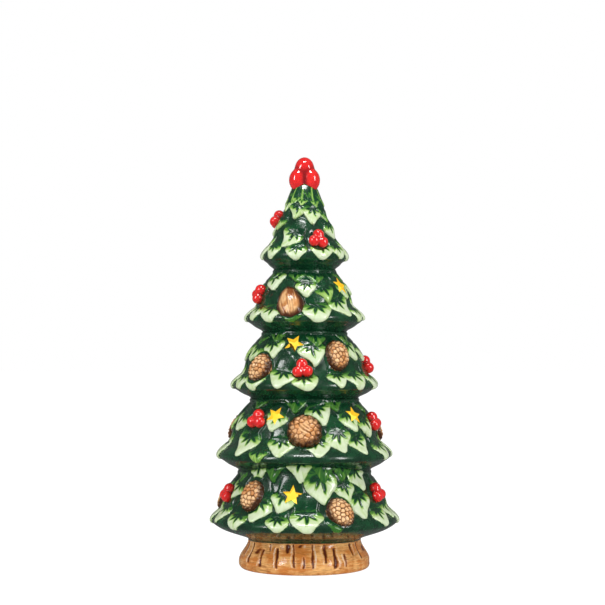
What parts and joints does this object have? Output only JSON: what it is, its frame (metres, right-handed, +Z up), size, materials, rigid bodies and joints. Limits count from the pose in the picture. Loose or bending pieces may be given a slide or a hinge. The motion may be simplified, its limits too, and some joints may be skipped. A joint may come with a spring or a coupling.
{
  "type": "lighted ceramic christmas tree figurine",
  "caption": "Hollow glazed ceramic Christmas tree with star cut-outs, cones and berries on a flared trunk, lit from inside by a plug-in battery light.",
  "frame": {"origin": "on the table under the tree's axis, in the middle of the foot ring", "axes": "+Z up along the tree's axis to the berry finial, -Y towards the front that the picture shows"},
  "size_m": [0.1402, 0.1405, 0.3051],
  "materials": {
    "leaf_glaze": "deep bottle-green glaze over pale leaf edges, very glossy",
    "bark_glaze": "orange-brown brushed glaze with dark grain grooves, glossy",
    "cone_glaze": "brown glaze with dark lines between the scales, glossy",
    "nut_glaze": "light brown glaze with darker stripes, glossy",
    "berry_glaze": "bright red glaze, very glossy",
    "ivory_plastic": "moulded plastic, fine satin grain",
    "black_plastic": "moulded plastic, satin",
    "frosted_plastic": "frosted light diffuser, glows warm yellow",
    "lamp_lens": "clear warm-tinted lamp body",
    "grey_rubber": "soft rubber, matt",
    "board_laminate": "green solder-masked board",
    "spring_steel": "nickel-plated",
    "battery_can": "plain unlabelled cell jacket",
    "red_insulation": "wire insulation",
    "black_insulation": "wire insulation"
  },
  "bodies": {
    "tree": {"tree_tier_1": "leaf_glaze", "tree_tier_2": "leaf_glaze", "tree_tier_3": "leaf_glaze", "tree_tier_4": "leaf_glaze", "tree_tier_5": "leaf_glaze", "berry_finial": "berry_glaze", "trunk_base": "bark_glaze", "pine_cone_1": "cone_glaze", "pine_cone_2": "cone_glaze", "pine_cone_3": "cone_glaze", "pine_cone_4": "cone_glaze", "pine_cone_5": "cone_glaze", "pine_cone_6": "cone_glaze", "pine_cone_7": "cone_glaze", "pine_cone_8": "cone_glaze", "pine_cone_9": "cone_glaze", "pine_cone_10": "cone_glaze", "pine_cone_11": "cone_glaze", "round_cone_1": "cone_glaze", "round_cone_2": "cone_glaze", "nut_1": "nut_glaze", "nut_2": "nut_glaze", "berries_1": "berry_glaze", "berries_2": "berry_glaze", "berries_3": "berry_glaze", "berries_4": "berry_glaze", "berries_5": "berry_glaze", "berries_6": "berry_glaze", "berries_7": "berry_glaze", "berries_8": "berry_glaze", "berries_9": "berry_glaze", "berries_10": "berry_glaze", "berries_11": "berry_glaze", "berries_12": "berry_glaze", "berries_13": "berry_glaze", "berries_14": "berry_glaze"},
    "light_unit": {"light_housing": "ivory_plastic", "unit_gasket": "grey_rubber", "battery_1": "battery_can", "battery_2": "battery_can", "battery_3": "battery_can", "contact_plus": "spring_steel", "contact_bridge_rear": "spring_steel", "contact_minus": "spring_steel", "contact_bridge_front": "spring_steel", "circuit_board": "board_laminate", "board_screw_1": "spring_steel", "board_screw_2": "spring_steel", "lead_red": "red_insulation", "lead_black": "black_insulation", "led_1": "lamp_lens", "led_2": "lamp_lens", "led_3": "lamp_lens", "diffuser_dome": "frosted_plastic", "switch_case": "black_plastic"},
    "battery_door": {"battery_door": "ivory_plastic"},
    "switch_knob": {"switch_knob": "black_plastic"}
  },
  "joints": [
    {"name": "light_unit_slide", "type": "slide", "parent": "tree", "child": "light_unit", "axis": [0, 0, -1], "range_m": [0, 0.06]},
    {"name": "battery_door_hinge", "type": "hinge", "parent": "light_unit", "child": "battery_door", "pos_m": [0, -0.02505, 0.0018], "axis": [-1, 0, 0], "range_deg": [0, 100]},
    {"name": "switch_slide", "type": "slide", "parent": "light_unit", "child": "switch_knob", "axis": [0, -1, 0], "range_m": [0, 0.002]}
  ]
}
